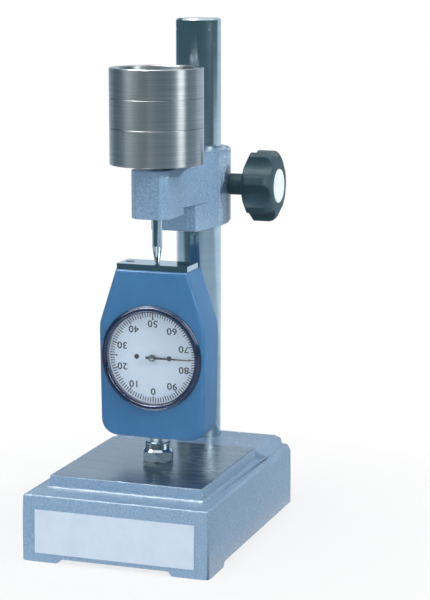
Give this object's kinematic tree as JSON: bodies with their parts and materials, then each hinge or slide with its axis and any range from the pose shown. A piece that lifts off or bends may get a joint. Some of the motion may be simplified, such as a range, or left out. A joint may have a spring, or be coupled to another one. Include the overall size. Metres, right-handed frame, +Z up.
{
  "type": "durometer on a dead-weight test stand",
  "caption": "Dial durometer standing upside down on a cast stand whose guided spindle presses stacked weights onto its indenter to test rubber hardness or check the gauge.",
  "frame": {"origin": "on the floor, under the middle of the whole outline", "axes": "+X to the right of someone facing the dial, +Y to the rear, +Z up"},
  "size_m": [0.1146, 0.166, 0.305],
  "materials": {
    "hammer_paint": "hammered enamel",
    "ground_steel": "fine ground",
    "chrome": "polished",
    "weight_steel": "turned",
    "fastener_steel": "satin",
    "label_white": "satin",
    "case_paint": "satin enamel",
    "bezel_black": "gloss",
    "window": "clear",
    "dial_white": "satin",
    "pointer_black": "satin",
    "movement_brass": "satin",
    "spring_steel": "bright",
    "knob_black": "satin",
    "cap_white": "gloss"
  },
  "bodies": {
    "stand": {"base_casting": "hammer_paint", "table_plate": "ground_steel", "table_screws": "fastener_steel", "column": "chrome", "column_bolt": "fastener_steel", "column_washer": "fastener_steel", "label_plate": "label_white", "gauge_housing": "case_paint", "rear_cover": "case_paint", "cover_screws": "fastener_steel", "pressure_foot": "chrome", "foot_screws": "fastener_steel", "bezel": "bezel_black", "crystal": "window", "dial_plate": "dial_white", "dial_screws": "pointer_black", "movement_plate": "movement_brass", "movement_bridge": "movement_brass", "bridge_pillars": "movement_brass", "bridge_screws": "fastener_steel", "guide_bush": "movement_brass", "load_spring": "spring_steel", "stem": "chrome", "stem_collar": "chrome", "stem_nut": "chrome"},
    "arm": {"arm_casting": "hammer_paint", "upper_bush": "movement_brass", "lower_bush": "movement_brass", "clamp_pad": "movement_brass"},
    "knob": {"clamp_stud": "fastener_steel", "clamp_knob": "knob_black", "knob_cap": "cap_white"},
    "loading_spindle": {"spindle": "chrome", "spindle_nut": "fastener_steel", "lower_weight": "weight_steel", "middle_weight": "weight_steel", "upper_weight": "weight_steel"},
    "indenter_rod": {"indenter": "spring_steel", "indenter_rack": "spring_steel"},
    "gear": {"gear_arbor": "spring_steel", "gear_wheel": "movement_brass"},
    "hand": {"pointer_arbor": "spring_steel", "pointer": "pointer_black"}
  },
  "joints": [
    {"name": "arm_lift", "type": "slide", "parent": "stand", "child": "arm", "axis": [0, 0, 1], "range_m": [0, 0.07]},
    {"name": "knob_turn", "type": "hinge", "parent": "arm", "child": "knob", "pos_m": [0.03, 0.0612, 0.2045], "axis": [1, 0, 0], "range_deg": [0, 360]},
    {"name": "spindle_slide", "type": "slide", "parent": "arm", "child": "loading_spindle", "axis": [0, 0, 1], "range_m": [-0.00063, 0.00187], "stiffness_N_per_m": 3000, "springref_m": 0.00206},
    {"name": "indenter_slide", "type": "slide", "parent": "stand", "child": "indenter_rod", "axis": [0, 0, 1], "range_m": [-0.00063, 0.00187], "deforming": ["load_spring"]},
    {"name": "gear_turn", "type": "hinge", "parent": "stand", "child": "gear", "pos_m": [0.0044, -0.014, 0.11805], "axis": [0, 1, 0], "range_deg": [-18.5, 54.5]},
    {"name": "pointer_turn", "type": "hinge", "parent": "stand", "child": "hand", "pos_m": [0, -0.019, 0.1102], "axis": [0, 1, 0], "range_deg": [-270.5, 90.5]}
  ],
  "couplings": [
    {"joint": "indenter_slide", "follows": "spindle_slide", "ratio": 1},
    {"joint": "gear_turn", "follows": "spindle_slide", "rad_per_m": 502.65},
    {"joint": "pointer_turn", "follows": "spindle_slide", "rad_per_m": -2513.3}
  ]
}
